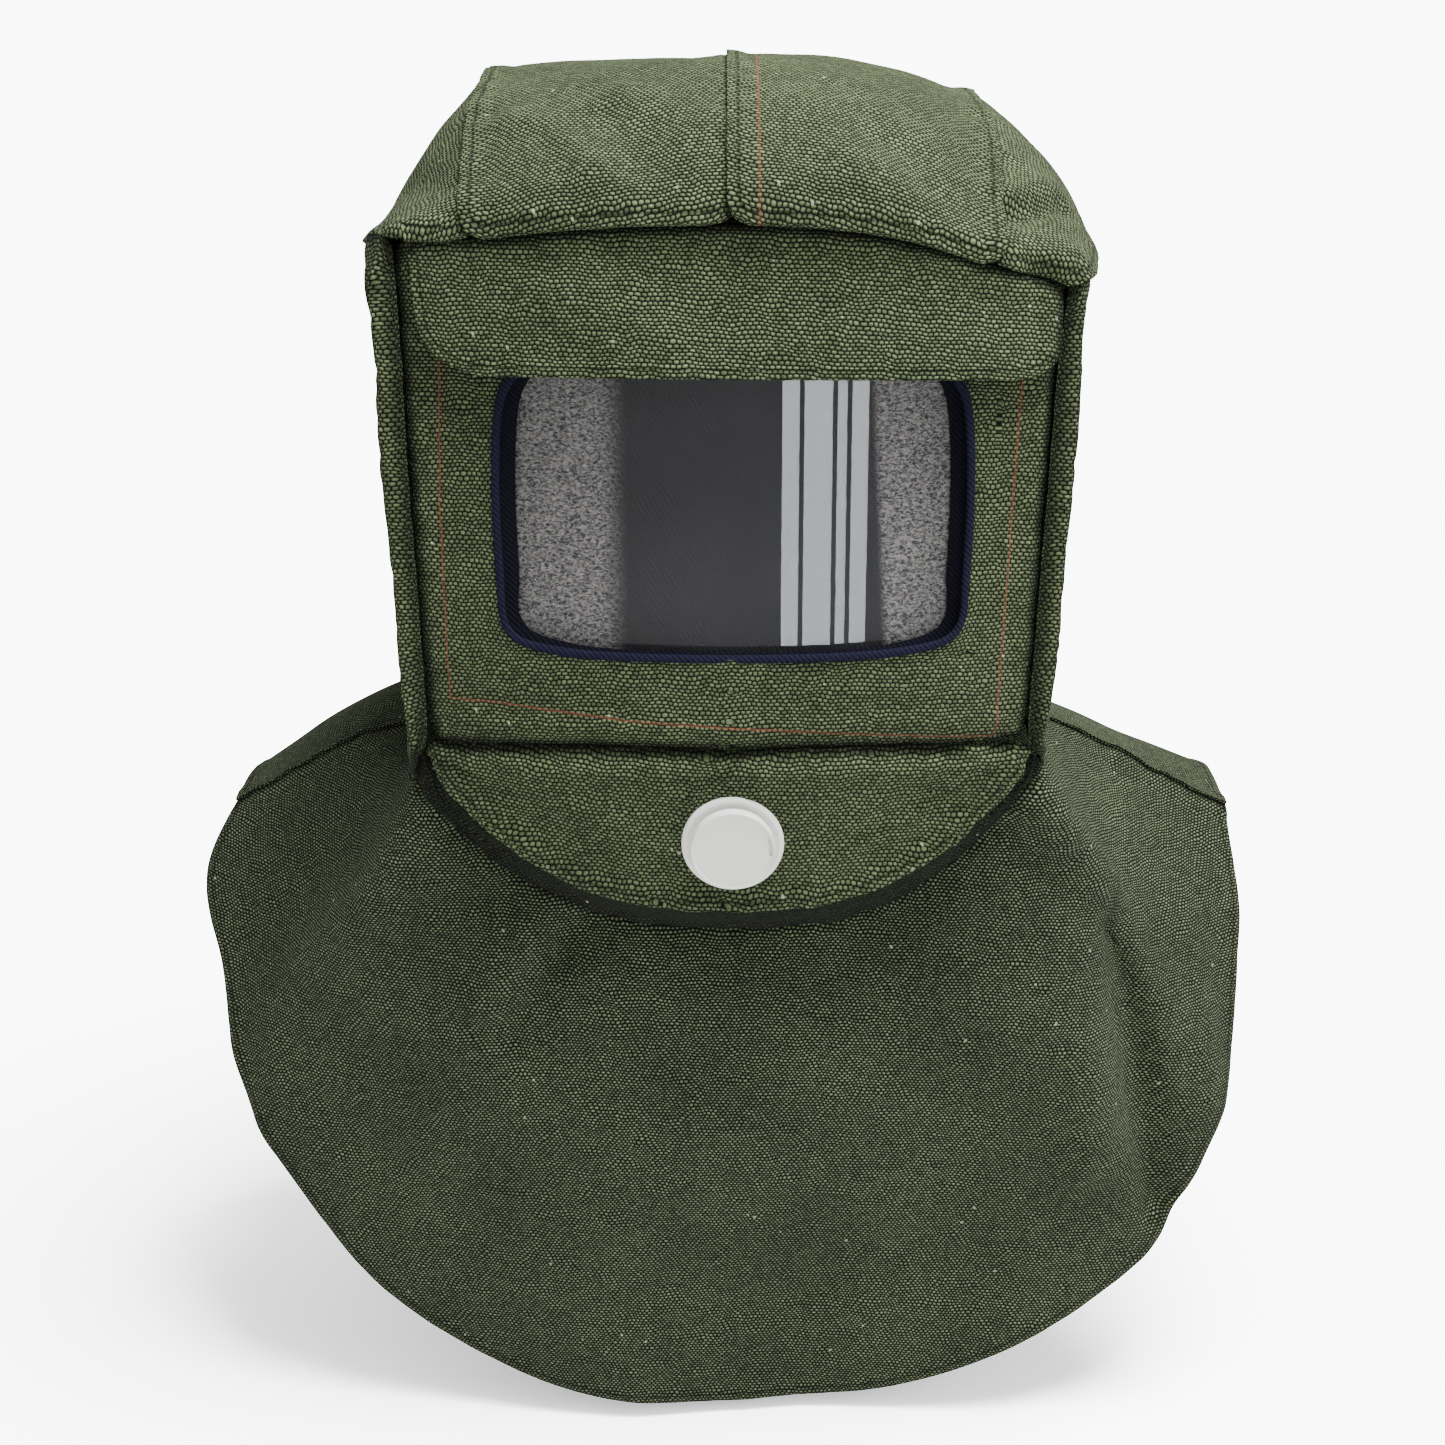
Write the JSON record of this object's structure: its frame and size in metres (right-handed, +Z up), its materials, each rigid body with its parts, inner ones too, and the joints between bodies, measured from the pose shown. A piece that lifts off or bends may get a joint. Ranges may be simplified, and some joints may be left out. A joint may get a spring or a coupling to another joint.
{
  "type": "sandblasting hood",
  "caption": "Canvas blast hood with a bowed window under a brow flap, a crescent chin panel with a round exhalation valve, and a rounded shoulder cape.",
  "frame": {"origin": "underside of the crown at its middle, where a head carries the hood", "axes": "+Z up, the face looks along -Y, +X is the wearer's left"},
  "size_m": [0.5427, 0.3192, 0.6827],
  "materials": {
    "canvas": "coarse olive-green cotton canvas in a basket weave",
    "binding": "navy twill tape",
    "pane": "clear glossy pane",
    "screen": "dark fine woven sheet with a slight sheen",
    "valve": "off-white satin plastic"
  },
  "bodies": {
    "root": {"crown_centre_right": "canvas", "crown_centre_left": "canvas", "crown_side_right": "canvas", "crown_side_left": "canvas", "brow_flap": "canvas", "face_panel": "canvas", "side_panel_right": "canvas", "side_panel_left": "canvas", "back_panel": "canvas", "chin_panel": "canvas", "chin_band": "canvas", "cape_front": "canvas", "cape_back": "canvas", "window_binding": "binding", "window_facing": "binding", "window_lens": "pane", "window_screen": "screen", "valve_seat": "valve", "valve_cap": "valve"}
  },
  "joints": []
}
